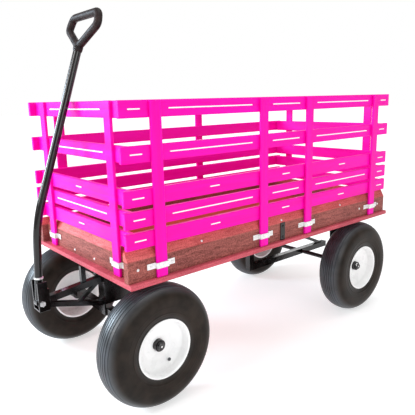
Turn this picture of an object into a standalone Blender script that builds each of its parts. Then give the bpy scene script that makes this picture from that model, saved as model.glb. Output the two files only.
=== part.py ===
"""Stake-sided garden wagon: timber deck, four lift-off racks, steered front truck and pull handle.

Frame: metres, +Z up, the wagon faces -Y, so its left side is +X. The origin is on the ground,
on the centre line, under the middle of the whole wagon from the handle to the rear tyres.
"""

import math

import bmesh
import bpy
from mathutils import Matrix, Vector

# Running and assembly gap between neighbouring pieces.
GAP = 0.0003

# Deck: a floor with a lip all round, long side boards, and end boards set back between them.
FLOOR_HALF_W = 0.2815
FLOOR_HALF_L = 0.5700
FLOOR_Z = 0.3400
LIP_T = 0.0130
FLOOR_RISE = 0.0030
BOARD_OUT_X = 0.2680
BOARD_OUT_Y = 0.5490
BOARD_HALF_L = 0.5680
BOARD_T = 0.0190
BOARD_H = 0.0780
CHAMFER_IN = 0.0130
CHAMFER_DOWN = 0.0230

# Racks: five slats on the inner side of flat stakes.
RACK_TOP = 0.7885
SLAT_H = 0.0410
SLAT_T = 0.0120
SLAT_STEP = 0.0520
SLAT_ROWS = (0, 2, 4, 5, 6)
SLAT_HALF_L = 0.5675
STAKE_W = 0.0320
STAKE_T = 0.0080
STAKE_OUT_Y = 0.4725
STAKE_IN_Y = 0.1025
END_STAKE_X = 0.1925
END_SLAT_HALF = 0.2555
EDGE = 0.0015

# Stake pockets: bent straps that hold each stake against its board.
POCKET_Z = 0.3850
POCKET_H = 0.0150
POCKET_T = 0.0020
POCKET_L = 0.0840
POCKET_PLAY = 0.0005
SIDE_STRAP_Y = -0.0150
SIDE_STRAP = (0.0030, 0.0200, 0.0560)

# Wheels: 4 inch wide tyres, 13 inches across, on dished steel rims.
TYRE_R = 0.1650
TYRE_HALF_W = 0.0475
TYRE_MID_R = 0.1222
TYRE_WALL = 0.0070
TYRE_SQUARE = 2.3
BEAD_R = 0.0840
BEAD_X = 0.0400
BEAD_DEPTH = 0.0070
RIM_LIP_R = 0.0800
RIM_WALL = 0.0026
DISH = 0.0060
DISH_EDGE = 0.0180
TRACK_HALF = 0.2515
FRONT_Y = -0.4870
REAR_Y = 0.4040
AXLE_R = 0.0080
HUB_R = 0.0160
HUB_IN = 0.0450
HUB_OUT = 0.0190
AXLE_END = 0.2740
ROUND = 28

# Front truck: beam, tower with the kingpin, turntable and tongue.
BEAM = 0.0250
BEAM_Z = 0.1770
BEAM_HALF = 0.1850
TOWER_HALF_W = 0.0200
TOWER_FRONT_Y = -0.5045
TOWER_BACK_Y = -0.4200
TOWER_Z = 0.2060
TABLE_Z = 0.3000
TABLE_T = 0.0060
TABLE_R = 0.0400
KINGPIN_R = 0.0090
YOKE_Y = -0.6720
YOKE_Z = 0.2395
YOKE_TOP = 0.3220
YOKE_DEPTH = 0.0270
YOKE_GAP = 0.0320
YOKE_T = 0.0050

# Handle: a bent tube that ends in a loop grip, hinged on a bolt through the yoke.
PIVOT_Y = -0.6900
PIVOT_Z = 0.2630
BOLT_R = 0.0040
FOOT_R = 0.0125
FOOT_HALF = 0.0120
TUBE_R = 0.0107
BEND_Z = 0.4780
LEAN_LOW = math.radians(3.5)
LEAN_HIGH = math.radians(19.3)
GRIP_Z = 0.9200
GRIP_R = 0.0105
GRIP_HALF = 0.0820
GRIP_TOP_HALF = 0.0700
GRIP_SHOULDER = 0.0600
GRIP_BAR = 0.0945

# Rear frame: hangers for the axle and a braced spine behind them.
HANGER_X = 0.1650
HANGER_T = 0.0050
PLATE_T = 0.0050
SPINE = 0.0220
SPINE_FRONT_Y = 0.1000
SPINE_REAR_Y = 0.5650

# The dimensions above count Y from the deck's middle. This shift centres the whole wagon.
Y_SHIFT = (FOOT_R - PIVOT_Y - FLOOR_HALF_L) / 2

STEEL = ((0.012, 0.012, 0.013), 0.30, 0.9)
ZINC = ((0.62, 0.64, 0.66), 0.35, 1.0)
WOOD = ((0.24, 0.07, 0.045), 0.55, 0.0)
PINK = ((0.87, 0.01, 0.42), 0.42, 0.0)
RUBBER = ((0.02, 0.022, 0.025), 0.70, 0.0)
WHITE = ((0.85, 0.85, 0.84), 0.35, 0.1)


def clear_scene():
    """Empty the file, so that a second run gives the same result."""
    for obj in list(bpy.data.objects):
        bpy.data.objects.remove(obj, do_unlink=True)


def material(name, finish):
    """One Principled material for one sub-part."""
    colour, roughness, metallic = finish
    mat = bpy.data.materials.new(name + "_finish")
    mat.use_nodes = True
    shader = mat.node_tree.nodes["Principled BSDF"]
    shader.inputs["Base Color"].default_value = (*colour, 1.0)
    shader.inputs["Roughness"].default_value = roughness
    shader.inputs["Metallic"].default_value = metallic
    mat.diffuse_color = (*colour, 1.0)
    return mat


def add_object(name, bm, finish, smooth=False):
    """Turn a bmesh in wagon coordinates into a named object."""
    bmesh.ops.recalc_face_normals(bm, faces=bm.faces)
    mesh = bpy.data.meshes.new(name)
    bm.to_mesh(mesh)
    bm.free()
    mesh.transform(Matrix.Translation((0, Y_SHIFT, 0)))
    if smooth:
        mesh.shade_smooth()
        mesh.set_sharp_from_angle(angle=math.radians(35))
    obj = bpy.data.objects.new(name, mesh)
    obj.data.materials.append(material(name, finish))
    bpy.context.scene.collection.objects.link(obj)
    return obj


def pivot(objects, point):
    """Put the origin of each object on its joint's axis, leaving its shape where it is."""
    place = Matrix.Translation(Vector(point) + Vector((0, Y_SHIFT, 0)))
    for obj in objects:
        obj.data.transform(place.inverted())
        obj.matrix_world = place


def box(low, high, bevel=0.0):
    """A block between two corners, with its edges eased if a bevel is given."""
    low, high = Vector(low), Vector(high)
    bm = bmesh.new()
    size = high - low
    bmesh.ops.create_cube(bm, size=1.0)
    bmesh.ops.scale(bm, vec=size, verts=bm.verts)
    bmesh.ops.translate(bm, vec=(low + high) / 2, verts=bm.verts)
    if bevel:
        bmesh.ops.bevel(bm, geom=bm.edges[:], offset=bevel, segments=1, profile=0.5,
                        affect="EDGES", material=-1)
    return bm


def prism(points, vector):
    """A flat outline pushed along a vector."""
    bm = bmesh.new()
    face = bm.faces.new([bm.verts.new(p) for p in points])
    moved = bmesh.ops.extrude_face_region(bm, geom=[face])["geom"]
    bmesh.ops.translate(bm, vec=vector, verts=[v for v in moved if isinstance(v, bmesh.types.BMVert)])
    return bm


def rod(start, end, radius, sides=16, radius_end=None):
    """A round bar between two points."""
    start, end = Vector(start), Vector(end)
    bm = bmesh.new()
    turn = (end - start).to_track_quat("Z", "Y").to_matrix().to_4x4()
    place = Matrix.Translation((start + end) / 2) @ turn
    bmesh.ops.create_cone(bm, cap_ends=True, segments=sides, radius1=radius,
                          radius2=radius if radius_end is None else radius_end,
                          depth=(end - start).length, matrix=place)
    return bm


def flat_bar(start, end, width, thick):
    """A bar in the X = 0 plane between two (y, z) points: width is across X, thick is in the plane."""
    a, b = Vector((0, *start)), Vector((0, *end))
    side = (b - a).normalized().cross(Vector((1, 0, 0))) * thick / 2
    half = Vector((width / 2, 0, 0))
    return prism([a + side - half, b + side - half, b - side - half, a - side - half], half * 2)


def turned(profile, x, y, z, steps=ROUND):
    """Turn a closed (offset, radius) outline round the axle line through y and z."""
    bm = bmesh.new()
    loop = [bm.verts.new((x + along, y, z + radius)) for along, radius in profile]
    edges = [bm.edges.new((loop[i], loop[(i + 1) % len(loop)])) for i in range(len(loop))]
    bmesh.ops.spin(bm, geom=loop + edges, cent=(x, y, z), axis=(1, 0, 0), dvec=(0, 0, 0),
                   angle=math.tau, steps=steps, use_merge=True)
    return bm


def combine(name, parts, operation, finish, smooth=False):
    """Weld or cut solids: the first part takes every other one in turn with an exact Boolean."""
    base = add_object(name, parts[0], finish)
    for index, part in enumerate(parts[1:]):
        tool = add_object(f"{name}_tool_{index}", part, finish)
        step = base.modifiers.new("solid", "BOOLEAN")
        step.object = tool
        step.operation = operation if isinstance(operation, str) else operation[index]
        step.solver = "EXACT"
        depsgraph = bpy.context.evaluated_depsgraph_get()
        shape = bpy.data.meshes.new_from_object(base.evaluated_get(depsgraph))
        base.modifiers.clear()
        base.data = shape
        bpy.data.objects.remove(tool, do_unlink=True)
    shape = base.data
    shape.name = name
    if smooth:
        shape.shade_smooth()
        shape.set_sharp_from_angle(angle=math.radians(35))
    return base


def build_floor():
    """The deck panel: its middle stands proud of the lip, between the boards."""
    z = FLOOR_Z
    lip = box((-FLOOR_HALF_W, -FLOOR_HALF_L, z), (FLOOR_HALF_W, FLOOR_HALF_L, z + LIP_T), EDGE)
    inner_x = BOARD_OUT_X - BOARD_T - GAP
    inner_y = BOARD_OUT_Y - BOARD_T - GAP
    field = box((-inner_x, -inner_y, z + LIP_T / 2), (inner_x, inner_y, z + LIP_T + FLOOR_RISE))
    combine("deck_floor", [lip, field], "UNION", WOOD)


def build_boards():
    """Four boards with a chamfer along the outer top edge. The end boards fit between the long ones."""
    low = FLOOR_Z + LIP_T + GAP
    high = low + BOARD_H
    section = [(0, low), (0, high - CHAMFER_DOWN), (-CHAMFER_IN, high), (-BOARD_T, high), (-BOARD_T, low)]
    for side, sign in (("left", 1), ("right", -1)):
        points = [(sign * (BOARD_OUT_X + d), -BOARD_HALF_L, z) for d, z in section]
        add_object("board_" + side, prism(points, (0, 2 * BOARD_HALF_L, 0)), WOOD)
    end_half = BOARD_OUT_X - BOARD_T - GAP
    for side, sign in (("front", -1), ("rear", 1)):
        points = [(-end_half, sign * (BOARD_OUT_Y + d), z) for d, z in section]
        add_object("board_" + side, prism(points, (2 * end_half, 0, 0)), WOOD)


def slat_heights():
    """Lowest and highest Z of each slat, from the top one down."""
    return [(RACK_TOP - row * SLAT_STEP - SLAT_H, RACK_TOP - row * SLAT_STEP) for row in SLAT_ROWS]


def build_side_rack(side, sign):
    """A long rack: five slats and four stakes, screwed face to face."""
    out = BOARD_OUT_X + GAP
    pieces = []
    for index, (low, high) in enumerate(slat_heights(), 1):
        ends = sorted((sign * (out - SLAT_T), sign * out))
        bm = box((ends[0], -SLAT_HALF_L, low), (ends[1], SLAT_HALF_L, high), EDGE)
        pieces.append(add_object(f"{side}_slat_{index}", bm, PINK))
    foot = FLOOR_Z + LIP_T + GAP
    for index, y in enumerate((-STAKE_OUT_Y, -STAKE_IN_Y, STAKE_IN_Y, STAKE_OUT_Y), 1):
        ends = sorted((sign * (out + GAP), sign * (out + GAP + STAKE_T)))
        bm = box((ends[0], y - STAKE_W / 2, foot), (ends[1], y + STAKE_W / 2, RACK_TOP), EDGE)
        pieces.append(add_object(f"{side}_stake_{index}", bm, PINK))
    return pieces


def build_end_rack(side, sign):
    """A short rack: its slats and two stakes are one welded solid."""
    out = BOARD_OUT_Y + GAP
    foot = FLOOR_Z + LIP_T + GAP
    parts = []
    for way in (-1, 1):
        ends = sorted((sign * out, sign * (out + STAKE_T)))
        x = way * END_STAKE_X
        parts.append(box((x - STAKE_W / 2, ends[0], foot), (x + STAKE_W / 2, ends[1], RACK_TOP), EDGE))
    for low, high in slat_heights():
        ends = sorted((sign * (out - SLAT_T), sign * (out + EDGE / 2)))
        parts.append(box((-END_SLAT_HALF, ends[0], low), (END_SLAT_HALF, ends[1], high - EDGE / 3), EDGE))
    parts = [parts[2], parts[0], parts[1], *parts[3:]]
    return combine(side + "_rack", parts, "UNION", PINK)


def pocket_outline():
    """Half of the strap's bent outline, as (along, out) points from the tab's end to the middle."""
    inner = STAKE_W / 2 + POCKET_PLAY
    depth = STAKE_T + GAP + POCKET_PLAY
    outer = [(POCKET_L / 2, POCKET_T), (inner + POCKET_T, POCKET_T),
             (inner + POCKET_T, depth + POCKET_T)]
    lining = [(inner, depth), (inner, 0), (POCKET_L / 2, 0)]
    return outer, lining


def build_pocket(name, centre, outward):
    """One strap, laid against a board at centre, standing out along outward."""
    outer, lining = pocket_outline()
    ring = outer + [(-a, b) for a, b in reversed(outer)] + [(-a, b) for a, b in reversed(lining)] + lining
    outward = Vector(outward)
    along = Vector((0, 0, 1)).cross(outward)
    base = Vector(centre) - Vector((0, 0, POCKET_H / 2))
    points = [base + along * a + outward * (b + GAP) for a, b in ring]
    add_object(name, prism(points, (0, 0, POCKET_H)), ZINC)


def build_pockets():
    """Four pockets on each side board and two on each end board."""
    for side, sign in (("left", 1), ("right", -1)):
        for index, y in enumerate((-STAKE_OUT_Y, -STAKE_IN_Y, STAKE_IN_Y, STAKE_OUT_Y), 1):
            build_pocket(f"pocket_{side}_{index}", (sign * BOARD_OUT_X, y, POCKET_Z), (sign, 0, 0))
    for side, sign in (("front", -1), ("rear", 1)):
        for index, x in enumerate((-END_STAKE_X, END_STAKE_X), 1):
            build_pocket(f"pocket_{side}_{index}", (x, sign * BOARD_OUT_Y, POCKET_Z), (0, sign, 0))


def build_side_straps():
    """The flat steel strap that ties each long board to the floor at mid length."""
    thick, width, height = SIDE_STRAP
    low = FLOOR_Z + LIP_T + GAP
    for side, sign in (("left", 1), ("right", -1)):
        ends = sorted((sign * (BOARD_OUT_X + GAP), sign * (BOARD_OUT_X + GAP + thick)))
        bm = box((ends[0], SIDE_STRAP_Y - width / 2, low),
                 (ends[1], SIDE_STRAP_Y + width / 2, low + height), EDGE / 2)
        add_object("side_strap_" + side, bm, STEEL)


def tyre_section(inset, crown_steps, wall_steps):
    """The casing's (offset, radius) curve from one bead over the tread to the other."""
    half, rise = TYRE_HALF_W - inset, TYRE_R - TYRE_MID_R - inset
    crown = []
    for i in range(crown_steps + 1):
        angle = math.pi / 2 - math.pi * i / crown_steps
        across = math.copysign(abs(math.sin(angle)) ** (2 / TYRE_SQUARE), math.sin(angle))
        up = abs(math.cos(angle)) ** (2 / TYRE_SQUARE)
        crown.append((half * across, TYRE_MID_R + rise * up))
    wall = []
    for k in range(1, wall_steps + 1):
        part = k / wall_steps
        offset = half - (TYRE_HALF_W - BEAD_X) * part ** 2
        wall.append((offset, TYRE_MID_R - (TYRE_MID_R - BEAD_R) * part))
    return wall[::-1] + crown + [(-offset, radius) for offset, radius in wall]


def build_wheel(name, x, y):
    """A hollow tyre on a dished rim with a hub tube. The dish opens outwards."""
    outward = math.copysign(1, x)
    outer = tyre_section(0.0, 8, 2)
    inner = tyre_section(TYRE_WALL, 4, 1)
    bead_low = BEAD_R - BEAD_DEPTH
    section = [(outer[-1][0], bead_low), *reversed(outer), (outer[0][0], bead_low)]
    foot = outer[0][0] - TYRE_WALL
    section += [(foot, bead_low), *inner, (-foot, bead_low)]
    section = [(outward * a, r) for a, r in section]
    tyre = add_object("tyre_" + name, turned(section, x, y, TYRE_R), RUBBER, smooth=True)

    seat = bead_low - GAP
    lip = outer[0][0] + GAP
    w = RIM_WALL
    bore = AXLE_R + GAP
    rim = [(-lip - w, RIM_LIP_R), (-lip, RIM_LIP_R), (-lip, seat), (lip, seat),
           (lip, RIM_LIP_R), (lip + w, RIM_LIP_R), (lip + w, seat - w), (DISH_EDGE, seat - w),
           (DISH, 0.0450), (DISH, HUB_R), (HUB_OUT, HUB_R), (HUB_OUT, bore),
           (-HUB_IN, bore), (-HUB_IN, HUB_R), (DISH - w, HUB_R), (DISH - w, 0.0450),
           (DISH_EDGE - 2 * w, seat - w), (-lip - w, seat - w)]
    rim = [(outward * a, r) for a, r in rim]
    hub = add_object("rim_" + name, turned(rim, x, y, TYRE_R), WHITE, smooth=True)
    pivot((tyre, hub), (x, y, TYRE_R))


def build_cap(name, x, y):
    """The domed push-on cap that keeps a wheel on its axle."""
    way = math.copysign(1, x)
    base = TRACK_HALF + HUB_OUT + GAP
    end = AXLE_END + 0.0040
    bore = AXLE_R + GAP
    profile = [(base, bore), (base, 0.0125), (base + 0.0025, 0.0125), (end - 0.0015, 0.0100),
               (end, 0.0060), (end, 0.0002), (AXLE_END + 0.0003, 0.0002), (AXLE_END + 0.0003, bore)]
    profile = [(way * a, r) for a, r in profile]
    bm = turned(profile, 0, y, TYRE_R, 16)
    add_object("axle_cap_" + name, closed_on_axis(bm, y), ZINC, smooth=True)


def closed_on_axis(bm, y):
    """Draw the small rings round the axis together, so that a turned cap has no hole."""
    near = [v for v in bm.verts if math.hypot(v.co.y - y, v.co.z - TYRE_R) < 0.0005]
    for v in near:
        v.co.y, v.co.z = y, TYRE_R
    bmesh.ops.remove_doubles(bm, verts=near, dist=0.0001)
    return bm


def build_front_axle():
    """A square beam with a round spindle welded under each end."""
    half = BEAM / 2
    beam = box((-BEAM_HALF, FRONT_Y - half, BEAM_Z - half), (BEAM_HALF, FRONT_Y + half, BEAM_Z + half), EDGE)
    rods = [rod((way * 0.150, FRONT_Y, TYRE_R), (way * AXLE_END, FRONT_Y, TYRE_R), AXLE_R)
            for way in (-1, 1)]
    combine("front_axle", [beam, *rods], "UNION", STEEL)


def build_tower():
    """The upright that carries the beam, with the lower turntable plate on its head."""
    w = TOWER_HALF_W
    body = box((-w, TOWER_FRONT_Y, TOWER_Z), (w, TOWER_BACK_Y, TABLE_Z + TABLE_T / 2))
    beam_front = FRONT_Y - BEAM / 2
    post = box((-0.0105, TOWER_FRONT_Y + 0.0002, BEAM_Z - 0.0100),
               (0.0105, beam_front - GAP, TOWER_Z + 0.0200))
    table = rod((0, FRONT_Y, TABLE_Z), (0, FRONT_Y, TABLE_Z + TABLE_T), TABLE_R, 24)
    bore = rod((0, FRONT_Y, TOWER_Z + 0.0100), (0, FRONT_Y, TABLE_Z + 0.0200), KINGPIN_R + GAP)
    combine("steering_tower", [body, post, table, bore], ("UNION", "UNION", "DIFFERENCE"), STEEL)


def build_turntable():
    """The upper bearing plate under the deck, with the ring that rides on the lower plate."""
    top = FLOOR_Z - GAP
    plate = box((-0.0600, FRONT_Y - 0.0380, top - 0.0060), (0.0600, FRONT_Y + 0.0870, top), EDGE)
    ring = rod((0, FRONT_Y, TABLE_Z + TABLE_T + GAP), (0, FRONT_Y, top - 0.0030), 0.0360, 24)
    bore = rod((0, FRONT_Y, TABLE_Z), (0, FRONT_Y, top + 0.0200), KINGPIN_R + GAP)
    combine("turntable_upper", [plate, ring, bore], ("UNION", "DIFFERENCE"), STEEL)
    pin = rod((0, FRONT_Y, TOWER_Z + 0.0105), (0, FRONT_Y, top - 0.0005), KINGPIN_R, 16)
    add_object("kingpin", pin, ZINC, smooth=True)


def build_tongue():
    """The drawbar: two bars, a strut and a rub post, welded to the yoke that holds the handle."""
    back = TOWER_FRONT_Y - GAP
    inner, outer = YOKE_GAP / 2, YOKE_GAP / 2 + YOKE_T
    front = YOKE_Y - YOKE_DEPTH
    yoke = box((-outer, front, YOKE_Z), (outer, YOKE_Y + 0.0040, YOKE_TOP), EDGE / 2)
    mouth = box((-inner, front - 0.0200, YOKE_Z + 0.0050), (inner, YOKE_Y - 0.0010, YOKE_TOP + 0.0200))
    notch = box((-outer - 0.01, YOKE_Y - 0.0010, YOKE_TOP - 0.0220), (outer + 0.01, YOKE_Y + 0.02, YOKE_TOP + 0.02))
    bore = rod((-0.05, PIVOT_Y, PIVOT_Z), (0.05, PIVOT_Y, PIVOT_Z), BOLT_R + GAP)
    upper = flat_bar((YOKE_Y, 0.2640), (back, 0.2820), 0.0190, 0.0190)
    lower = flat_bar((YOKE_Y, 0.2515), (back, 0.2065), 0.0160, 0.0140)
    strut = flat_bar((-0.5820, 0.2270), (-0.5160, 0.2740), 0.0100, 0.0100)
    post = box((-0.0060, -0.5670, 0.2720), (0.0060, -0.5530, FLOOR_Z - 0.0060))
    parts = [yoke, mouth, notch, bore, upper, lower, strut, post]
    steps = ("DIFFERENCE", "DIFFERENCE", "DIFFERENCE", "UNION", "UNION", "UNION", "UNION")
    tongue = combine("tongue", parts, steps, STEEL)
    end = box((-0.05, back, 0.15), (0.05, back + 0.05, 0.35))
    trim(tongue, end)


def trim(obj, cutter):
    """Cut a finished object with one more solid."""
    tool = add_object(obj.name + "_trim", cutter, STEEL)
    step = obj.modifiers.new("trim", "BOOLEAN")
    step.object = tool
    step.operation = "DIFFERENCE"
    step.solver = "EXACT"
    depsgraph = bpy.context.evaluated_depsgraph_get()
    shape = bpy.data.meshes.new_from_object(obj.evaluated_get(depsgraph))
    obj.modifiers.clear()
    obj.data = shape
    bpy.data.objects.remove(tool, do_unlink=True)


def build_handle_bolt():
    """A hexagon bolt with its nut, through the yoke and the handle."""
    outer = YOKE_GAP / 2 + YOKE_T + GAP
    shank = rod((-outer - 0.0040, PIVOT_Y, PIVOT_Z), (outer + 0.0040, PIVOT_Y, PIVOT_Z), BOLT_R)
    head = rod((outer, PIVOT_Y, PIVOT_Z), (outer + 0.0055, PIVOT_Y, PIVOT_Z), 0.0078, 6)
    nut = rod((-outer - 0.0065, PIVOT_Y, PIVOT_Z), (-outer, PIVOT_Y, PIVOT_Z), 0.0075, 6)
    return combine("handle_bolt", [shank, head, nut], "UNION", ZINC)


def tube(points, radius, closed=False, sides=10):
    """A round tube along a list of points, as a mesh made from a bevelled curve."""
    curve = bpy.data.curves.new("tube", "CURVE")
    curve.dimensions = "3D"
    curve.bevel_depth = radius
    curve.bevel_resolution = sides // 4
    curve.use_fill_caps = True
    spline = curve.splines.new("POLY")
    spline.points.add(len(points) - 1)
    for point, co in zip(spline.points, points):
        point.co = (*co, 1.0)
    spline.use_cyclic_u = closed
    holder = bpy.data.objects.new("tube", curve)
    bpy.context.scene.collection.objects.link(holder)
    depsgraph = bpy.context.evaluated_depsgraph_get()
    mesh = bpy.data.meshes.new_from_object(holder.evaluated_get(depsgraph))
    bpy.data.objects.remove(holder, do_unlink=True)
    bm = bmesh.new()
    bm.from_mesh(mesh)
    bmesh.ops.remove_doubles(bm, verts=bm.verts, dist=0.00001)
    bmesh.ops.recalc_face_normals(bm, faces=bm.faces)
    return bm


def rounded(corners, radius, steps, closed):
    """Points along a path whose corners are replaced with arcs, as quadratic blends."""
    count = len(corners)
    points = []
    for i, corner in enumerate(corners):
        if not closed and i in (0, count - 1):
            points.append(corner)
            continue
        before = (corners[i - 1] - corner).normalized() * radius
        after = (corners[(i + 1) % count] - corner).normalized() * radius
        for k in range(steps + 1):
            t = k / steps
            points.append(corner + before * (1 - t) ** 2 + after * t ** 2)
    return points


def handle_line(z):
    """The handle's centre line: Y at a height, leaning back more above the bend."""
    low = min(z, BEND_Z) - PIVOT_Z
    high = max(z, BEND_Z) - BEND_Z
    return PIVOT_Y + low * math.tan(LEAN_LOW) + high * math.tan(LEAN_HIGH)


def build_handle():
    """The bent tube with its loop grip. The foot turns on the bolt inside the yoke."""
    spots = [PIVOT_Z, BEND_Z, GRIP_Z + 0.0060]
    shank = tube(rounded([Vector((0, handle_line(z), z)) for z in spots], 0.045, 4, False), TUBE_R)
    foot = rod((-FOOT_HALF, PIVOT_Y, PIVOT_Z), (FOOT_HALF, PIVOT_Y, PIVOT_Z), FOOT_R)
    rise = Vector((0, math.sin(LEAN_HIGH), math.cos(LEAN_HIGH)))
    base = Vector((0, handle_line(GRIP_Z), GRIP_Z))
    outline = [(0, 0.0080), (GRIP_HALF, GRIP_SHOULDER), (GRIP_TOP_HALF, GRIP_BAR),
               (-GRIP_TOP_HALF, GRIP_BAR), (-GRIP_HALF, GRIP_SHOULDER)]
    loop = [base + Vector((x, 0, 0)) + rise * s for x, s in outline]
    grip = tube(rounded(loop, 0.0120, 3, True), GRIP_R, closed=True)
    bore = rod((-0.05, PIVOT_Y, PIVOT_Z), (0.05, PIVOT_Y, PIVOT_Z), BOLT_R + GAP)
    handle = combine("handle", [shank, foot, grip, bore], ("UNION", "UNION", "DIFFERENCE"), STEEL, True)
    pivot((handle,), (0, PIVOT_Y, PIVOT_Z))


def build_rear_frame():
    """Hangers, spine, post and brace, welded to a T-shaped plate under the deck."""
    top = FLOOR_Z - GAP
    under = top - PLATE_T
    cross = box((-HANGER_X - 0.02, REAR_Y - 0.0300, under), (HANGER_X + 0.02, REAR_Y + 0.0300, top))
    strip = box((-0.0200, SPINE_FRONT_Y, under), (0.0200, REAR_Y, top))
    post = box((-0.0110, SPINE_FRONT_Y, TYRE_R), (0.0110, SPINE_FRONT_Y + 0.0220, under + 0.001))
    spine = box((-SPINE / 2, SPINE_FRONT_Y, TYRE_R - SPINE / 2), (SPINE / 2, SPINE_REAR_Y, TYRE_R + SPINE / 2))
    brace = flat_bar((SPINE_REAR_Y - 0.012, TYRE_R), (0.1650, under - 0.002), 0.0120, 0.0120)
    parts = [cross, strip, post, spine, brace]
    for way in (-1, 1):
        x = way * HANGER_X
        outline = [(x - HANGER_T / 2, REAR_Y + dy, z) for dy, z in
                   ((-0.0300, under + 0.001), (0.0300, under + 0.001), (0.0150, TYRE_R - 0.0150),
                    (-0.0150, TYRE_R - 0.0150))]
        parts.append(prism(outline, (HANGER_T, 0, 0)))
    bore = rod((-0.25, REAR_Y, TYRE_R), (0.25, REAR_Y, TYRE_R), AXLE_R + GAP)
    parts.append(bore)
    combine("rear_frame", parts, ["UNION"] * 6 + ["DIFFERENCE"], STEEL)
    axle = rod((-AXLE_END, REAR_Y, TYRE_R), (AXLE_END, REAR_Y, TYRE_R), AXLE_R)
    add_object("rear_axle", axle, STEEL, smooth=True)


def main():
    """Build every sub-part in the order it would go together."""
    clear_scene()
    build_floor()
    build_boards()
    build_pockets()
    build_side_straps()
    for side, sign in (("left", 1), ("right", -1)):
        build_side_rack(side, sign)
    build_end_rack("front", -1)
    build_end_rack("rear", 1)
    build_turntable()
    build_front_axle()
    build_tower()
    build_tongue()
    build_handle_bolt()
    build_handle()
    build_rear_frame()
    for name, x, y in (("front_left", TRACK_HALF, FRONT_Y), ("front_right", -TRACK_HALF, FRONT_Y),
                       ("rear_left", TRACK_HALF, REAR_Y), ("rear_right", -TRACK_HALF, REAR_Y)):
        build_wheel(name, x, y)
        build_cap(name, x, y)


main()
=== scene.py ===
# %% [markdown]
# # Stake-sided garden wagon
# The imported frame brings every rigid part. This script gives each one its finish, swaps the wheels
# and the handle for finer versions, adds the small fittings, and sets up the studio.

# %%
import math
import bmesh
import bpy
from mathutils import Matrix, Vector


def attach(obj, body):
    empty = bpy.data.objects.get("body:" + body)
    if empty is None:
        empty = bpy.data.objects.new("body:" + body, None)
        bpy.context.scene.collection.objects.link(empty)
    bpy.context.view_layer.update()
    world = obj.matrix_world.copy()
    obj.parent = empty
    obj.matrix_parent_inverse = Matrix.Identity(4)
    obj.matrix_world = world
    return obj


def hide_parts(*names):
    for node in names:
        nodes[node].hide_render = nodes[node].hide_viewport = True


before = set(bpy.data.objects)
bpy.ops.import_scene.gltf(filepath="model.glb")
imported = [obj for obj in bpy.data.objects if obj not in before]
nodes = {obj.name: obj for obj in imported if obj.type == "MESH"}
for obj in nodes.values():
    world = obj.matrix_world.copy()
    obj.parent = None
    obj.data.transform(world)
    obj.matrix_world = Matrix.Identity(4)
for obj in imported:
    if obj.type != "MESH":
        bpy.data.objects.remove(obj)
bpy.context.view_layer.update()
print("nodes:", len(nodes))

# %% [markdown]
# ## Shader helpers
# Every pattern is read from Object coordinates, in metres, so its scale is the real one.

# %%
def new_finish(name, roughness=0.5, metallic=0.0):
    """A new material and its Principled shader."""
    mat = bpy.data.materials.new(name)
    mat.use_nodes = True
    shader = mat.node_tree.nodes["Principled BSDF"]
    shader.inputs["Roughness"].default_value = roughness
    shader.inputs["Metallic"].default_value = metallic
    return mat, shader


def coords(mat, stretch=(1.0, 1.0, 1.0)):
    """Object coordinates, scaled along each axis."""
    tree = mat.node_tree
    source = tree.nodes.new("ShaderNodeTexCoord")
    mapping = tree.nodes.new("ShaderNodeMapping")
    mapping.inputs["Scale"].default_value = stretch
    tree.links.new(source.outputs["Object"], mapping.inputs["Vector"])
    return mapping.outputs["Vector"]


def noise(mat, scale, stretch=(1.0, 1.0, 1.0), detail=4.0, distortion=0.0):
    """A noise pattern with that many features to the metre."""
    node = mat.node_tree.nodes.new("ShaderNodeTexNoise")
    node.inputs["Scale"].default_value = scale
    node.inputs["Detail"].default_value = detail
    node.inputs["Distortion"].default_value = distortion
    mat.node_tree.links.new(coords(mat, stretch), node.inputs["Vector"])
    return node.outputs["Fac"]


def ramp(mat, value, stops):
    """Colours along a value from 0 to 1."""
    node = mat.node_tree.nodes.new("ShaderNodeValToRGB")
    band = node.color_ramp
    while len(band.elements) < len(stops):
        band.elements.new(0.5)
    for element, (place, colour) in zip(band.elements, stops):
        element.position = place
        element.color = (*colour, 1.0)
    mat.node_tree.links.new(value, node.inputs["Fac"])
    return node.outputs["Color"]


def remap(mat, value, low, high, out_low, out_high):
    """Value carried from one range to another, and held at the ends."""
    node = mat.node_tree.nodes.new("ShaderNodeMapRange")
    names = ("From Min", "From Max", "To Min", "To Max")
    for name, number in zip(names, (low, high, out_low, out_high)):
        node.inputs[name].default_value = number
    mat.node_tree.links.new(value, node.inputs["Value"])
    return node.outputs["Result"]


def blend_colours(mat, amount, first, second, mode="MIX"):
    """Two colours mixed by an amount, each a socket or a constant."""
    node = mat.node_tree.nodes.new("ShaderNodeMix")
    node.data_type = "RGBA"
    node.blend_type = mode
    for socket, value in ((node.inputs[0], amount), (node.inputs[6], first), (node.inputs[7], second)):
        if isinstance(value, bpy.types.NodeSocket):
            mat.node_tree.links.new(value, socket)
        elif isinstance(value, tuple):
            socket.default_value = (*value, 1.0)
        else:
            socket.default_value = value
    return node.outputs[2]


def maths(mat, operation, first, second=0.0):
    """One maths node, each input a socket or a number."""
    node = mat.node_tree.nodes.new("ShaderNodeMath")
    node.operation = operation
    for socket, value in zip(node.inputs, (first, second)):
        if isinstance(value, bpy.types.NodeSocket):
            mat.node_tree.links.new(value, socket)
        else:
            socket.default_value = value
    return node.outputs["Value"]


def relief(mat, shader, height, depth):
    """Bump of that depth in metres."""
    node = mat.node_tree.nodes.new("ShaderNodeBump")
    node.inputs["Strength"].default_value = 1.0
    node.inputs["Distance"].default_value = depth
    mat.node_tree.links.new(height, node.inputs["Height"])
    mat.node_tree.links.new(node.outputs["Normal"], shader.inputs["Normal"])


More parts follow.
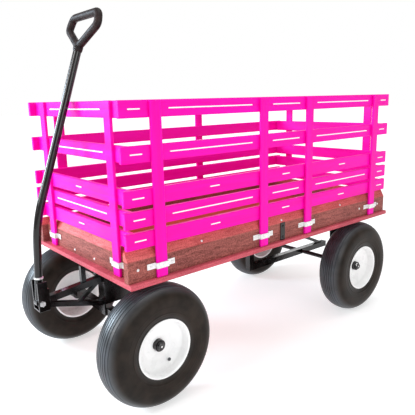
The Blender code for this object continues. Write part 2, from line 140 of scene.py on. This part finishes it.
def axis(mat, index):
    """One Object coordinate as a value."""
    node = mat.node_tree.nodes.new("ShaderNodeSeparateXYZ")
    mat.node_tree.links.new(coords(mat), node.inputs["Vector"])
    return node.outputs[index]


print("shader helpers ready")

# %% [markdown]
# ## Stained timber
# The boards have a mauve-brown grainy face and a redder chamfer. The floor has a salmon lip.

# %%
BOARD_CHAMFER_Z = 0.4080
FLOOR_FIELD_Z = 0.3545
FACE_DARK, FACE_LIGHT = (0.135, 0.030, 0.024), (0.480, 0.140, 0.118)
CHAMFER_DARK, CHAMFER_LIGHT = (0.430, 0.055, 0.058), (0.800, 0.180, 0.175)
LIP_DARK, LIP_LIGHT = (0.450, 0.055, 0.075), (0.750, 0.140, 0.185)
FIELD_DARK, FIELD_LIGHT = (0.380, 0.045, 0.022), (0.680, 0.120, 0.060)


def timber(name, along_x, split_z, low, high):
    """Stained wood with its grain along X or Y, in one tone below a height and another above it."""
    mat, shader = new_finish(name, 0.5)
    shader.inputs["Specular IOR Level"].default_value = 0.22
    stretch = (5.0, 60.0, 60.0) if along_x else (60.0, 5.0, 60.0)
    grain = noise(mat, 1.7, stretch, 6.0, 1.8)
    fibres = noise(mat, 5.0, tuple(s * 1.8 for s in stretch), 4.0, 0.5)
    speck = noise(mat, 330.0, detail=3.0)
    patches = noise(mat, 9.0, detail=2.0)
    tone = maths(mat, "ADD", maths(mat, "MULTIPLY", grain, 0.30), maths(mat, "MULTIPLY", fibres, 0.25))
    tone = maths(mat, "ADD", tone, maths(mat, "MULTIPLY", speck, 0.45))
    below = ramp(mat, tone, [(0.38, low[0]), (0.62, low[1])])
    above = ramp(mat, tone, [(0.38, high[0]), (0.62, high[1])])
    step = remap(mat, axis(mat, 2), split_z - 0.0008, split_z + 0.0008, 0.0, 1.0)
    colour = blend_colours(mat, step, below, above)
    worn = ramp(mat, patches, [(0.35, (0.80, 0.78, 0.80)), (0.70, (1.0, 1.0, 1.0))])
    colour = blend_colours(mat, 1.0, colour, worn, "MULTIPLY")
    mat.node_tree.links.new(colour, shader.inputs["Base Color"])
    mat.node_tree.links.new(remap(mat, tone, 0.3, 0.7, 0.62, 0.42), shader.inputs["Roughness"])
    relief(mat, shader, tone, 0.0006)
    return mat


board_y = timber("timber_board_long", False, BOARD_CHAMFER_Z, (FACE_DARK, FACE_LIGHT),
                 (CHAMFER_DARK, CHAMFER_LIGHT))
board_x = timber("timber_board_end", True, BOARD_CHAMFER_Z, (FACE_DARK, FACE_LIGHT),
                 (CHAMFER_DARK, CHAMFER_LIGHT))
deck = timber("timber_floor", False, FLOOR_FIELD_Z, (LIP_DARK, LIP_LIGHT), (FIELD_DARK, FIELD_LIGHT))
print("timber ready")

# %% [markdown]
# ## Moulded, painted and plated finishes

# %%
def moulded(name, colour, pale, roughness, streak):
    """Glossy moulded plastic with faint flow streaks and a fine skin."""
    mat, shader = new_finish(name, roughness)
    shader.inputs["Specular IOR Level"].default_value = 0.13
    flow = noise(mat, 2.0, streak, 3.0, 0.6)
    mat.node_tree.links.new(ramp(mat, flow, [(0.35, colour), (0.70, pale)]), shader.inputs["Base Color"])
    skin = noise(mat, 900.0, detail=2.0)
    mat.node_tree.links.new(remap(mat, flow, 0.3, 0.7, roughness - 0.05, roughness + 0.08),
                            shader.inputs["Roughness"])
    relief(mat, shader, skin, 0.00006)
    return mat


PEEL_DEPTH = 0.00008


def painted(name, colour, pale, roughness):
    """Sprayed gloss paint with orange peel and a little dust."""
    mat, shader = new_finish(name, roughness)
    dust = noise(mat, 28.0, detail=5.0)
    mat.node_tree.links.new(ramp(mat, dust, [(0.45, colour), (0.75, pale)]), shader.inputs["Base Color"])
    mat.node_tree.links.new(remap(mat, dust, 0.35, 0.75, roughness - 0.05, roughness + 0.15),
                            shader.inputs["Roughness"])
    relief(mat, shader, noise(mat, 520.0, detail=1.0), PEEL_DEPTH)
    return mat


def plated(name, colour, pale, roughness):
    """Bright zinc with a mottled grain and fine scratches."""
    mat, shader = new_finish(name, roughness, 1.0)
    mottle = noise(mat, 160.0, detail=3.0)
    mat.node_tree.links.new(ramp(mat, mottle, [(0.35, colour), (0.65, pale)]), shader.inputs["Base Color"])
    mat.node_tree.links.new(remap(mat, mottle, 0.3, 0.7, roughness - 0.08, roughness + 0.12),
                            shader.inputs["Roughness"])
    scratch = noise(mat, 300.0, (1.0, 0.1, 1.0), 2.0)
    relief(mat, shader, scratch, 0.00005)
    return mat


PINK, PINK_PALE = (0.880, 0.0005, 0.370), (0.960, 0.002, 0.470)
pink_y = moulded("pink_long", PINK, PINK_PALE, 0.36, (30.0, 1.5, 30.0))
pink_x = moulded("pink_end", PINK, PINK_PALE, 0.36, (1.5, 30.0, 30.0))
pink_z = moulded("pink_upright", PINK, PINK_PALE, 0.34, (30.0, 30.0, 1.5))
black = painted("black_gloss", (0.003, 0.0022, 0.0022), (0.007, 0.0045, 0.0045), 0.12)
white = painted("white_gloss", (0.90, 0.90, 0.895), (0.95, 0.95, 0.945), 0.30)
stripe_white = painted("stripe_white", (0.88, 0.86, 0.88), (0.95, 0.94, 0.95), 0.40)
zinc = plated("zinc_plate", (0.72, 0.72, 0.72), (0.93, 0.93, 0.92), 0.38)
dark_zinc = plated("dark_fastener", (0.05, 0.05, 0.05), (0.12, 0.12, 0.12), 0.35)
print("finishes ready")

# %% [markdown]
# ## Rubber and vinyl
# The tread is dusty and has a painted bluish sheen, and the sidewalls are a warmer black.

# %%
TRACK = 0.2515


def rubber():
    """Tyre rubber, told apart by its distance from the wheel's middle plane."""
    mat, shader = new_finish("tyre_rubber", 0.5)
    across = maths(mat, "ABSOLUTE", maths(mat, "SUBTRACT", maths(mat, "ABSOLUTE", axis(mat, 0)), TRACK))
    grit = noise(mat, 700.0, detail=3.0)
    smear = noise(mat, 22.0, detail=4.0)
    # The tread's colour is partly dust and partly a painted bluish sheen, so it is lighter and bluer than
    # the sidewalls.
    tread = ramp(mat, smear, [(0.35, (0.014, 0.018, 0.023)), (0.70, (0.036, 0.046, 0.058))])
    wall = ramp(mat, smear, [(0.35, (0.010, 0.0070, 0.0050)), (0.70, (0.028, 0.020, 0.015))])
    colour = blend_colours(mat, remap(mat, across, 0.026, 0.042, 0.0, 1.0), tread, wall)
    mat.node_tree.links.new(colour, shader.inputs["Base Color"])
    mat.node_tree.links.new(remap(mat, smear, 0.3, 0.7, 0.32, 0.46), shader.inputs["Roughness"])
    mat.node_tree.links.new(remap(mat, across, 0.030, 0.044, 0.75, 0.14),
                            shader.inputs["Specular IOR Level"])
    relief(mat, shader, grit, 0.00012)
    return mat


def vinyl():
    """Dipped vinyl for the grip, with a leathery grain."""
    mat, shader = new_finish("grip_vinyl", 0.42)
    shader.inputs["Specular IOR Level"].default_value = 0.22
    cells = mat.node_tree.nodes.new("ShaderNodeTexVoronoi")
    cells.inputs["Scale"].default_value = 420.0
    mat.node_tree.links.new(coords(mat), cells.inputs["Vector"])
    grain = cells.outputs["Distance"]
    colour = ramp(mat, noise(mat, 60.0), [(0.40, (0.008, 0.004, 0.004)), (0.70, (0.030, 0.016, 0.015))])
    mat.node_tree.links.new(colour, shader.inputs["Base Color"])
    mat.node_tree.links.new(remap(mat, grain, 0.0, 0.6, 0.32, 0.50), shader.inputs["Roughness"])
    relief(mat, shader, grain, 0.0004)
    return mat


tyre_rubber = rubber()
grip_vinyl = vinyl()
print("rubber ready")

# %% [markdown]
# ## Finishes on the frame's own parts
# Sharp edges are eased by a narrow bevel that leaves each mesh as it is.

# %%
def dress(node, mat, bevel=0.0):
    """Give a frame part its finish, and ease its edges."""
    obj = nodes[node]
    for held in obj.material_slots:
        held.material = mat
    if bevel:
        step = obj.modifiers.new("eased", "BEVEL")
        step.width = bevel
        step.segments = 2
        step.limit_method = "ANGLE"
        step.angle_limit = math.radians(35)


for name in nodes:
    if name.startswith("board_"):
        dress(name, board_y if name in ("board_left", "board_right") else board_x, 0.0012)
    elif "_slat_" in name:
        dress(name, pink_y, 0.0005)
    elif "_stake_" in name:
        dress(name, pink_z, 0.0005)
    elif name in ("front_rack", "rear_rack"):
        dress(name, pink_x)
    elif name.startswith("pocket_"):
        dress(name, zinc, 0.0006)
    elif name in ("kingpin", "handle_bolt"):
        dress(name, zinc)
    elif name == "deck_floor":
        dress(name, deck, 0.0010)
    elif not name.startswith(("tyre_", "rim_", "axle_cap_")) and name != "handle":
        dress(name, black)
print("frame parts dressed")

# %% [markdown]
# ## Mesh helpers

# %%
def finish_piece(name, bm, mat, body, smooth=True):
    """Turn a bmesh in the frame's coordinates into a piece that moves with a body."""
    bmesh.ops.recalc_face_normals(bm, faces=bm.faces)
    mesh = bpy.data.meshes.new(name)
    bm.to_mesh(mesh)
    bm.free()
    if smooth:
        mesh.shade_smooth()
        mesh.set_sharp_from_angle(angle=math.radians(40))
    obj = bpy.data.objects.new(name, mesh)
    mesh.materials.append(mat)
    bpy.context.scene.collection.objects.link(obj)
    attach(obj, body)
    return obj


def spin_profile(bm, profile, centre, steps):
    """Turn a closed (offset, radius) outline round the X axis line through centre."""
    x, y, z = centre
    loop = [bm.verts.new((x + along, y, z + radius)) for along, radius in profile]
    edges = [bm.edges.new((loop[i], loop[(i + 1) % len(loop)])) for i in range(len(loop))]
    bmesh.ops.spin(bm, geom=loop + edges, cent=centre, axis=(1, 0, 0), dvec=(0, 0, 0),
                   angle=math.tau, steps=steps, use_merge=True)


def rounded_line(corners, radius, steps, closed):
    """Points along a path whose corners are replaced with arcs."""
    count = len(corners)
    points = []
    for i, corner in enumerate(corners):
        if not closed and i in (0, count - 1):
            points.append(corner)
            continue
        before = (corners[i - 1] - corner).normalized() * radius
        after = (corners[(i + 1) % count] - corner).normalized() * radius
        for k in range(steps + 1):
            t = k / steps
            points.append(corner + before * (1 - t) ** 2 + after * t ** 2)
    return points


def sweep(bm, points, radius, closed=False, sides=20):
    """A round tube along a line of points. The radius is one number or one for each point."""
    count = len(points)
    radii = radius if isinstance(radius, list) else [radius] * count
    normal = None
    rings = []
    for i, point in enumerate(points):
        before = points[i - 1] if i or closed else point
        after = points[(i + 1) % count] if i < count - 1 or closed else point
        ahead = (after - before).normalized()
        if normal is None:
            normal = ahead.orthogonal()
        normal = (normal - ahead * normal.dot(ahead)).normalized()
        other = ahead.cross(normal)
        angles = [math.tau * k / sides for k in range(sides)]
        rings.append([bm.verts.new(point + (normal * math.cos(a) + other * math.sin(a)) * radii[i])
                      for a in angles])
    for i in range(count if closed else count - 1):
        first, second = rings[i], rings[(i + 1) % count]
        for k in range(sides):
            m = (k + 1) % sides
            bm.faces.new((first[k], first[m], second[m], second[k]))
    if not closed:
        bm.faces.new(rings[0][::-1])
        bm.faces.new(rings[-1])


def turned_piece(name, profile, centre, steps, mat, body):
    """A piece turned round the X axis line through centre."""
    bm = bmesh.new()
    spin_profile(bm, profile, centre, steps)
    return finish_piece(name, bm, mat, body)


def swept_piece(name, points, radius, mat, body, closed=False, sides=20):
    """A round bar along a line of points."""
    bm = bmesh.new()
    sweep(bm, points, radius, closed, sides)
    return finish_piece(name, bm, mat, body)


print("mesh helpers ready")

# %% [markdown]
# ## Tyres
# A ribbed crown with fine grooves, plain shoulders, and two moulded rings on each sidewall.

# %%
SHIFT_Y = 0.06625
FRONT_Y, REAR_Y = SHIFT_Y - 0.487, SHIFT_Y + 0.404
TYRE_R = 0.1650
HALF_W = 0.0474
MID_R = 0.1222
SQUARE = 2.3
BEAD_X, BEAD_R, BEAD_LOW = 0.0400, 0.0840, 0.0770
RINGS = ((0.1130, 0.0006), (0.0960, 0.0008))
GROOVES = (-0.0285, -0.0200, -0.0120, -0.0040, 0.0040, 0.0120, 0.0200, 0.0285)
GROOVE_HALF, GROOVE_DEPTH, GROOVE_SLOPE = 0.0008, 0.0019, 0.0006
CROWN_STEPS, WALL_STEPS = 14, 24
WHEELS = {"front_left": (TRACK, FRONT_Y), "front_right": (-TRACK, FRONT_Y),
          "rear_left": (TRACK, REAR_Y), "rear_right": (-TRACK, REAR_Y)}


def crown(x):
    """Radius of the tyre's plain outer curve at an offset from its middle."""
    return MID_R + (TYRE_R - MID_R) * (1 - abs(x / HALF_W) ** SQUARE) ** (1 / SQUARE)


def wall(r):
    """Offset of the sidewall at a radius, with its two moulded rings."""
    part = (MID_R - r) / (MID_R - BEAD_R)
    ridge = sum(height for centre, height in RINGS if abs(r - centre) < 0.0011)
    return HALF_W - (HALF_W - BEAD_X) * part ** 2 + min(ridge, (HALF_W - BEAD_X) * part ** 2)


def tyre_outline():
    """Closed outline from one bead over the tread to the other."""
    half = []
    for g in [g for g in GROOVES if g > 0]:
        for x, drop in ((g - GROOVE_HALF - GROOVE_SLOPE, 0), (g - GROOVE_HALF, GROOVE_DEPTH),
                        (g + GROOVE_HALF, GROOVE_DEPTH), (g + GROOVE_HALF + GROOVE_SLOPE, 0)):
            half.append((x, crown(x) - drop))
    start = math.asin((half[-1][0] / HALF_W) ** (SQUARE / 2))
    for i in range(1, CROWN_STEPS + 1):
        angle = start + (math.pi / 2 - start) * i / CROWN_STEPS
        across = math.sin(angle) ** (2 / SQUARE)
        up = abs(math.cos(angle)) ** (2 / SQUARE)
        half.append((HALF_W * across, MID_R + (TYRE_R - MID_R) * up))
    for k in range(1, WALL_STEPS + 1):
        r = MID_R - (MID_R - BEAD_R) * k / WALL_STEPS
        half.append((wall(r), r))
    right = half + [(BEAD_X, BEAD_R - 0.0010), (BEAD_X, BEAD_LOW)]
    return right + [(-x, r) for x, r in reversed(right)]


for name, (x, y) in WHEELS.items():
    tyre = turned_piece("visual_tyre_" + name, tyre_outline(), (x, y, TYRE_R), 96,
                        tyre_rubber, "wheel_" + name)
    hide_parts("tyre_" + name)
print("tyre outline points:", len(tyre_outline()))

# %% [markdown]
# ## Rims, hubs and axle ends
# A dished white disc with a rolled lip, a dark hub tube, and a washer and cap on the axle's end.

# %%
DISC = [(0.0403, 0.0767), (0.0403, 0.0793), (0.0409, 0.0800), (0.0421, 0.0800), (0.0428, 0.0792),
        (0.0426, 0.0772), (0.0414, 0.0751), (0.0392, 0.0741), (0.0200, 0.0738), (0.0168, 0.0722),
        (0.0150, 0.0690), (0.0122, 0.0600), (0.0096, 0.0520), (0.0080, 0.0478), (0.0066, 0.0450),
        (0.0060, 0.0420), (0.0060, 0.0290), (0.0066, 0.0262), (0.0074, 0.0240), (0.0074, 0.0166),
        (0.0030, 0.0166), (0.0030, 0.0420), (0.0052, 0.0480), (0.0120, 0.0690), (0.0126, 0.0741),
        (-0.0403, 0.0741), (-0.0428, 0.0755), (-0.0428, 0.0800), (-0.0403, 0.0800), (-0.0403, 0.0767)]
HUB = [(0.0190, 0.0083), (0.0190, 0.0150), (0.0182, 0.0158), (0.0076, 0.0160), (-0.0442, 0.0160),
       (-0.0450, 0.0152), (-0.0450, 0.0083)]
CAP = [(0.0193, 0.0085), (0.0193, 0.0122), (0.0199, 0.0125), (0.0212, 0.0125), (0.0218, 0.0119),
       (0.0219, 0.0100), (0.0252, 0.0096), (0.0262, 0.0084), (0.0264, 0.0060), (0.0264, 0.0030),
       (0.0226, 0.0030), (0.0226, 0.0085)]
VALVE_TURN = math.radians(-62)
VALVE_CAP = ((0.0, 0.0026), (0.1, 0.0040), (0.2, 0.0042), (0.45, 0.0042), (0.55, 0.0040), (0.9, 0.0040),
             (1.0, 0.0030))
DOT = [(0.0228, 0.0001), (0.0265, 0.0001), (0.0264, 0.0018), (0.0260, 0.0026), (0.0228, 0.0027)]


def mirrored(profile, way):
    """The outline with its offsets pointing outwards from the wagon."""
    return [(way * a, r) for a, r in profile]


def valve_line(centre, way, outside):
    """The root, middle and tip of a valve that leans in towards the hub as it leaves the disc."""
    face = 0.0140 if outside else 0.0060
    side = way if outside else -way
    spoke = Vector((0, math.cos(VALVE_TURN), math.sin(VALVE_TURN)))
    root = Vector(centre) + spoke * 0.0640 + Vector((side * face * 0.7, 0, 0))
    tip = root + Vector((side * 0.0140, 0, 0)) - spoke * 0.0150
    return root, root.lerp(tip, 0.60), tip


def cotter_line(centre, way):
    """The bend of a cotter behind a rear axle cap."""
    base = Vector(centre) + Vector((way * 0.0240, 0, 0))
    corners = ((-0.0100, 0.0050), (-0.0135, 0.0095), (-0.0100, 0.0145), (-0.0060, 0.0115))
    return rounded_line([base + Vector((0, y, z)) for y, z in corners], 0.002, 4, False)


for name, (x, y) in WHEELS.items():
    way = 1 if x > 0 else -1
    centre = (x, y, TYRE_R)
    front = name.startswith("front")
    carrier = "front_truck" if front else "wagon"
    wheel = "wheel_" + name
    disc = turned_piece("visual_rim_" + name, mirrored(DISC, way), centre, 96, white, wheel)
    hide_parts("rim_" + name)
    turned_piece("visual_hub_" + name, mirrored(HUB, way), centre, 40, black, wheel)
    cap = turned_piece("visual_cap_" + name, mirrored(CAP, way), centre, 40, dark_zinc, carrier)
    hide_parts("axle_cap_" + name)
    turned_piece("visual_cap_dot_" + name, mirrored(DOT, way), centre, 24, zinc, carrier)
    root, middle, tip = valve_line(centre, way, front)
    swept_piece("visual_valve_" + name, [root, root.lerp(middle, 0.3), middle], [0.0046, 0.0038, 0.0034],
                zinc, wheel, sides=14)
    swept_piece("visual_valve_cap_" + name, [middle.lerp(tip, t) for t, _ in VALVE_CAP],
                [radius for _, radius in VALVE_CAP], tyre_rubber, wheel, sides=14)
    if not front:
        swept_piece("visual_cotter_" + name, cotter_line(centre, way), 0.0013, zinc, carrier,
                    sides=10)
print("wheels done")

# %% [markdown]
# ## Handle
# A bent gloss tube with a collar above the yoke, and a vinyl-dipped loop grip.

# %%
PIVOT = Vector((0, SHIFT_Y - 0.6900, 0.2630))
TUBE_R, GRIP_R = 0.0106, 0.0104
BEND_Z, GRIP_Z = 0.4780, 0.9200
LEAN_LOW, LEAN_HIGH = math.radians(3.5), math.radians(19.3)
GRIP_HALF, GRIP_TOP, SHOULDER, BAR = 0.0820, 0.0700, 0.0600, 0.0940
FOOT = [(-0.0118, 0.0044), (-0.0118, 0.0118), (-0.0112, 0.0124), (0.0112, 0.0124),
        (0.0118, 0.0118), (0.0118, 0.0044)]


def line_at(z):
    """A point of the handle's centre line at a height."""
    low = min(z, BEND_Z) - PIVOT.z
    high = max(z, BEND_Z) - BEND_Z
    return Vector((0, PIVOT.y + low * math.tan(LEAN_LOW) + high * math.tan(LEAN_HIGH), z))


def band(name, low, high, parts, radii, mat, slot, sides):
    """A short sleeve round the tube between two heights."""
    low, high = line_at(low), line_at(high)
    points = [low, low.lerp(high, parts[0]), low.lerp(high, parts[1]), high]
    return swept_piece(name, points, radii, mat, "handle", sides=sides)


shank = rounded_line([line_at(PIVOT.z + 0.004), line_at(BEND_Z), line_at(GRIP_Z + 0.006)], 0.060, 16, False)
handle = swept_piece("visual_handle_tube", shank, TUBE_R, black, "handle", sides=28)
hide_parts("handle")
turned_piece("visual_handle_foot", FOOT, tuple(PIVOT), 40, black, "handle")
rise = Vector((0, math.sin(LEAN_HIGH), math.cos(LEAN_HIGH)))
outline = [(0, 0.0080), (GRIP_HALF, SHOULDER), (GRIP_TOP, BAR), (-GRIP_TOP, BAR), (-GRIP_HALF, SHOULDER)]
loop = [line_at(GRIP_Z) + Vector((x, 0, 0)) + rise * up for x, up in outline]
swept_piece("visual_handle_grip", rounded_line(loop, 0.0140, 8, True), GRIP_R, grip_vinyl,
            "handle", True, 24)
band("visual_handle_socket", GRIP_Z - 0.006, GRIP_Z + 0.014, (0.25, 0.6),
     [0.0106, 0.0124, 0.0128, 0.0118], grip_vinyl, "black_steel", 24)
band("visual_handle_collar", 0.3270, 0.3330, (0.15, 0.85),
     [0.0108, 0.0124, 0.0124, 0.0108], zinc, "zinc", 28)
print("handle done")

# %% [markdown]
# ## Painted stripes
# Long pinstripes on three of the slats, short dashes on the others and on the overhanging ends.

# %%
SLATS = [(0.7475, 0.7885), (0.6435, 0.6845), (0.5395, 0.5805), (0.4875, 0.5285), (0.4355, 0.4765)]
LONG_ROWS = (0, 1, 3)
STRIPE_H, DASH, MARGIN = 0.0032, 0.0340, 0.0260
SIDE_STAKES = (-0.4725, -0.1025, 0.1025, 0.4725)
STAKE_HALF = 0.0160
SLAT_END = 0.5675
SIDE_FACE, END_FACE, PROUD = 0.2683, 0.55005, 0.0004
END_STRIPE = 0.3000


def stripe(bm, middle, along, outward, length):
    """A thin round-ended strip of paint."""
    up = Vector((0, 0, STRIPE_H / 2))
    straight = along * (length - STRIPE_H) / 2
    ends = ((1, 0), (0.7, 0.7), (0, 1), (-0.7, 0.7), (-1, 0))
    rim = [middle + straight + up * a + along * b * STRIPE_H / 2 for a, b in ends]
    rim += [middle - straight - up * a - along * b * STRIPE_H / 2 for a, b in ends]
    back = [bm.verts.new(p - outward * PROUD) for p in rim]
    face = [bm.verts.new(p + outward * PROUD) for p in rim]
    bm.faces.new(back)
    bm.faces.new(face)
    for i in range(len(rim)):
        j = (i + 1) % len(rim)
        bm.faces.new((back[i], back[j], face[j], face[i]))


def side_stripes(bm, sign):
    """Every stripe of one long rack."""
    outward, along = Vector((sign, 0, 0)), Vector((0, 1, 0))
    overhang = (SIDE_STAKES[-1] + STAKE_HALF + SLAT_END) / 2
    for row, (low, high) in enumerate(SLATS):
        z = (low + high) / 2
        spots = [(-overhang, DASH), (overhang, DASH)]
        for first, second in zip(SIDE_STAKES, SIDE_STAKES[1:]):
            bay = second - first - 2 * STAKE_HALF - 2 * MARGIN
            spots.append(((first + second) / 2, bay if row in LONG_ROWS else DASH))
        for y, length in spots:
            stripe(bm, Vector((sign * SIDE_FACE, y + SHIFT_Y, z)), along, outward, length)


def end_stripes(bm, sign):
    """Every stripe of one short rack."""
    outward, along = Vector((0, sign, 0)), Vector((1, 0, 0))
    for row, (low, high) in enumerate(SLATS):
        length = END_STRIPE if row in LONG_ROWS else DASH
        stripe(bm, Vector((0, sign * END_FACE + SHIFT_Y, (low + high) / 2)), along, outward, length)


for side, sign, draw in (("left", 1, side_stripes), ("right", -1, side_stripes),
                         ("front", -1, end_stripes), ("rear", 1, end_stripes)):
    bm = bmesh.new()
    draw(bm, sign)
    finish_piece("stripes_" + side, bm, stripe_white, "rack_" + side, False)
print("stripes done")

# %% [markdown]
# ## Screws
# Domed screws in the strap tabs, in the boards, and in the mid-length strap.

# %%
SCREW_SIDES, SCREW_H = 16, 0.0022
SCREW_DOME = ((1.0, -0.2), (1.0, 0.35), (0.86, 0.72), (0.55, 0.94), (0.28, 1.0), (0.2, 0.55))


def screw(bm, spot, outward, radius=0.0036):
    """A domed screw head with a small round recess, set on a face."""
    place = Matrix.Translation(spot) @ outward.normalized().to_track_quat("Z", "Y").to_matrix().to_4x4()
    angles = [math.tau * k / SCREW_SIDES for k in range(SCREW_SIDES)]
    rings = []
    for wide, tall in SCREW_DOME:
        rings.append([bm.verts.new(place @ Vector((math.cos(a) * radius * wide, math.sin(a) * radius * wide,
                                                   SCREW_H * tall))) for a in angles])
    for first, second in zip(rings, rings[1:]):
        for k in range(SCREW_SIDES):
            m = (k + 1) % SCREW_SIDES
            bm.faces.new((first[k], first[m], second[m], second[k]))
    bm.faces.new(rings[0][::-1])
    bm.faces.new(rings[-1])


POCKET_Z, TAB, POCKET_T = 0.3850, 0.0345, 0.0023
BOARD_X, BOARD_Y, END_STAKE_X = 0.2680, 0.5490, 0.1925
FACE_Z, CHAMFER_X, CHAMFER_Z, END_Z = 0.3840, 0.2640, 0.4154, 0.3650
STRAP_Y, STRAP_T, STRAP_SCREWS = -0.0150, 0.0033, (0.3640, 0.3980)


def pocket_screws(bm, sign):
    """The screws of one side's straps and of one end's straps."""
    side, end = Vector((sign, 0, 0)), Vector((0, sign, 0))
    for y in SIDE_STAKES:
        for way in (-1, 1):
            screw(bm, Vector((sign * (BOARD_X + POCKET_T), y + way * TAB + SHIFT_Y, POCKET_Z)), side)
    for x in (-END_STAKE_X, END_STAKE_X):
        for way in (-1, 1):
            screw(bm, Vector((x + way * TAB, sign * (BOARD_Y + POCKET_T) + SHIFT_Y, POCKET_Z)), end)


def board_screws(bm, sign):
    """The screws in one long board's face and chamfer, and in one end board."""
    side, end, chamfer = Vector((sign, 0, 0)), Vector((0, sign, 0)), Vector((sign * 0.023, 0, 0.013))
    for y in (-0.5400, 0.4050, 0.5250):
        screw(bm, Vector((sign * BOARD_X, y + SHIFT_Y, FACE_Z)), side, 0.0040)
    for y in (-0.3350, -0.0150, 0.2900):
        screw(bm, Vector((sign * CHAMFER_X, y + SHIFT_Y, CHAMFER_Z)), chamfer)
    for x in (-0.0600, 0.0600):
        screw(bm, Vector((x, sign * BOARD_Y + SHIFT_Y, END_Z)), end, 0.0034)


def strap_screws(bm, sign):
    """The two black screws of one mid-length strap."""
    for z in STRAP_SCREWS:
        screw(bm, Vector((sign * (BOARD_X + STRAP_T), STRAP_Y + SHIFT_Y, z)), Vector((sign, 0, 0)), 0.0040)


for name, draw, mat, slot in (("pocket_screws", pocket_screws, zinc, "zinc"),
                              ("board_screws", board_screws, zinc, "zinc"),
                              ("strap_screws", strap_screws, black, "black_steel")):
    bm = bmesh.new()
    for sign in (-1, 1):
        draw(bm, sign)
    finish_piece(name, bm, mat, "wagon")
print("screws done")

# %% [markdown]
# ## Studio

# %%
def stage_floor():
    """A plain pale floor."""
    mat, shader = new_finish("studio_floor", 0.85)
    shade = ramp(mat, noise(mat, 0.7, detail=1.0), [(0.3, (0.62, 0.62, 0.62)), (0.7, (0.65, 0.65, 0.65))])
    mat.node_tree.links.new(shade, shader.inputs["Base Color"])
    shader.inputs["Specular IOR Level"].default_value = 0.1
    shader.inputs["Emission Color"].default_value = (1.0, 1.0, 1.0, 1.0)
    place = [axis(mat, i) for i in (0, 1)]
    away = maths(mat, "SQRT", maths(mat, "ADD", *[maths(mat, "MULTIPLY", p, p) for p in place]))
    mat.node_tree.links.new(remap(mat, away, 1.5, 7.0, 0.56, 0.95), shader.inputs["Emission Strength"])
    bm = bmesh.new()
    bmesh.ops.create_grid(bm, x_segments=1, y_segments=1, size=30.0)
    mesh = bpy.data.meshes.new("studio_floor")
    bm.to_mesh(mesh)
    bm.free()
    mesh.materials.append(mat)
    floor = bpy.data.objects.new("studio_floor", mesh)
    bpy.context.scene.collection.objects.link(floor)


def area_light(name, spot, target, size, power, colour=(1.0, 1.0, 1.0)):
    """A square soft light aimed at a point."""
    lamp = bpy.data.lights.new(name, "AREA")
    lamp.size = size
    lamp.energy = power
    lamp.color = colour
    obj = bpy.data.objects.new(name, lamp)
    obj.location = spot
    obj.rotation_euler = (Vector(target) - Vector(spot)).to_track_quat("-Z", "Y").to_euler()
    bpy.context.scene.collection.objects.link(obj)


def studio_world():
    """An even sky that lights softly and is seen as white."""
    world = bpy.data.worlds.new("studio")
    world.use_nodes = True
    tree = world.node_tree
    sky = tree.nodes["Background"]
    sky.inputs["Color"].default_value = (1.0, 1.0, 1.0, 1.0)
    path = tree.nodes.new("ShaderNodeLightPath")
    level = tree.nodes.new("ShaderNodeMapRange")
    level.inputs["To Min"].default_value = SKY
    level.inputs["To Max"].default_value = SKY_SEEN
    tree.links.new(path.outputs["Is Camera Ray"], level.inputs["Value"])
    tree.links.new(level.outputs["Result"], sky.inputs["Strength"])
    bpy.context.scene.world = world


SKY, SKY_SEEN = 0.50, 1.0
MIDDLE, FRONT_LOW = (0.0, 0.0, 0.45), (0.2, -0.4, 0.2)
stage_floor()
area_light("key", (-0.3, -3.8, 2.4), MIDDLE, 2.0, 84)
area_light("side", (3.6, -0.6, 1.8), MIDDLE, 2.0, 34)
area_light("top", (0.4, 0.3, 3.8), MIDDLE, 3.0, 45)
area_light("rear", (-2.8, 2.6, 2.2), MIDDLE, 2.2, 24)
area_light("tread", (-2.1, -2.3, 1.5), FRONT_LOW, 0.9, 100, (0.72, 0.87, 1.0))
studio_world()
bpy.context.scene.view_settings.view_transform = "Standard"
print("lights ready")

# %% [markdown]
# ## Camera

# %%
CAMERA_AT = (1.24069, -1.06487, 0.78627)
HEADING, PITCH, ROLL = (math.radians(a) for a in (50.007, -12.517, -1.350))
eye = bpy.data.cameras.new("camera")
eye.sensor_width = 36.0
eye.lens = 42.37
camera = bpy.data.objects.new("camera", eye)
camera.matrix_world = (Matrix.Translation(CAMERA_AT) @ Matrix.Rotation(HEADING, 4, "Z")
                       @ Matrix.Rotation(math.pi / 2 + PITCH, 4, "X") @ Matrix.Rotation(ROLL, 4, "Z"))
bpy.context.scene.collection.objects.link(camera)
bpy.context.scene.camera = camera
print("camera ready")
